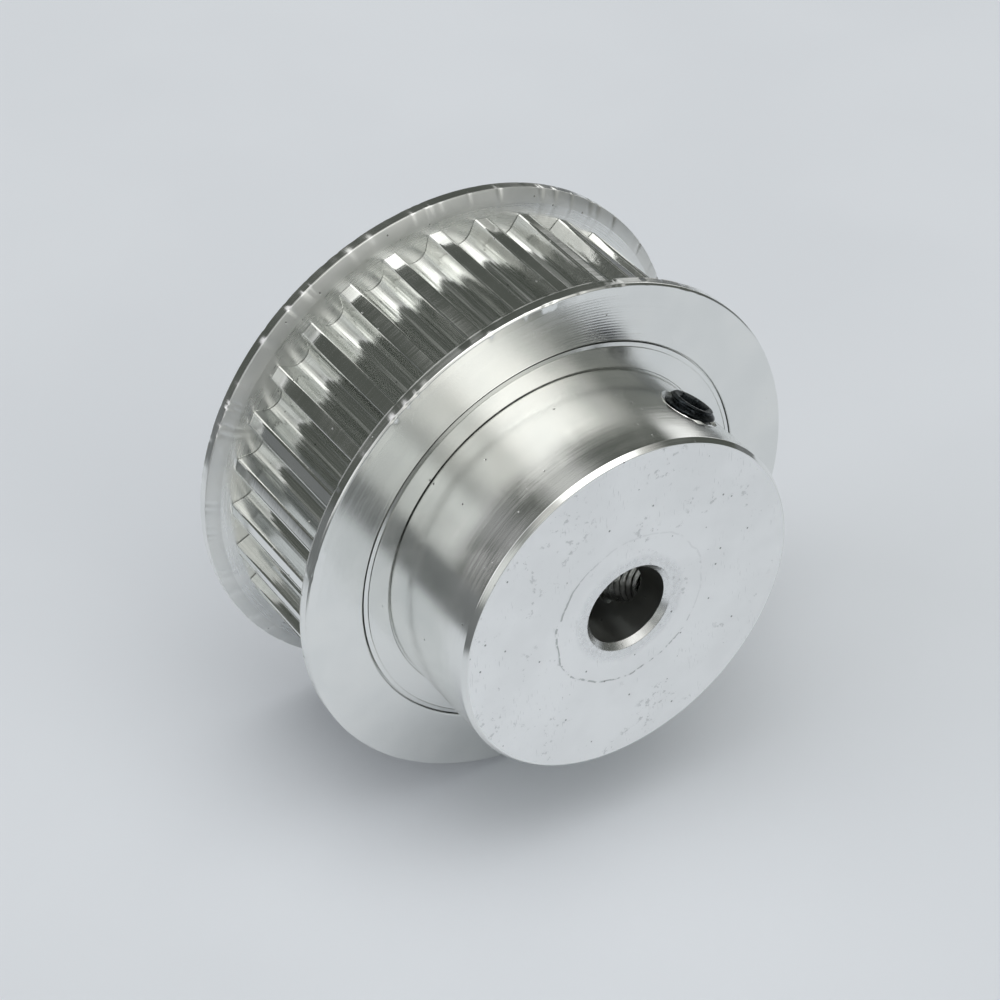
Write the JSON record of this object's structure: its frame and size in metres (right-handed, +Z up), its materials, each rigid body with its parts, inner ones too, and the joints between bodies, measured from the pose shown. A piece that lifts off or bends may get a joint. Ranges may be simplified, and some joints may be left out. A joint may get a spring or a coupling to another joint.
{
  "type": "timing belt pulley",
  "caption": "Flanged timing belt pulley with round-groove teeth, a hub on one side and two radial set screws that clamp it to a shaft.",
  "frame": {"origin": "on the shaft bore's axis, half way between the two flanges, where the middle of the belt runs", "axes": "+Y along the bore, away from the hub; +Z up as the pulley lies on its two flange rims; the first set screw stands 35 degrees from +Z towards +X"},
  "size_m": [0.0514, 0.0314, 0.0514],
  "materials": {
    "machined_aluminium": "bright turned and milled, with fine tool marks",
    "flange_aluminium": "bright turned, with fine tool marks",
    "black_oxide_steel": "black oxide with a trace of oil"
  },
  "bodies": {
    "pulley": {"pulley_body": "machined_aluminium", "front_flange": "flange_aluminium", "rear_flange": "flange_aluminium"},
    "upper_screw": {"upper_set_screw": "black_oxide_steel"},
    "lower_screw": {"lower_set_screw": "black_oxide_steel"}
  },
  "joints": [
    {"name": "upper_screw_travel", "type": "slide", "parent": "pulley", "child": "upper_screw", "axis": [0.5736, 0, 0.8192], "range_m": [-0.004, 0.004]},
    {"name": "lower_screw_travel", "type": "slide", "parent": "pulley", "child": "lower_screw", "axis": [0.8192, 0, -0.5736], "range_m": [-0.004, 0.004]}
  ]
}
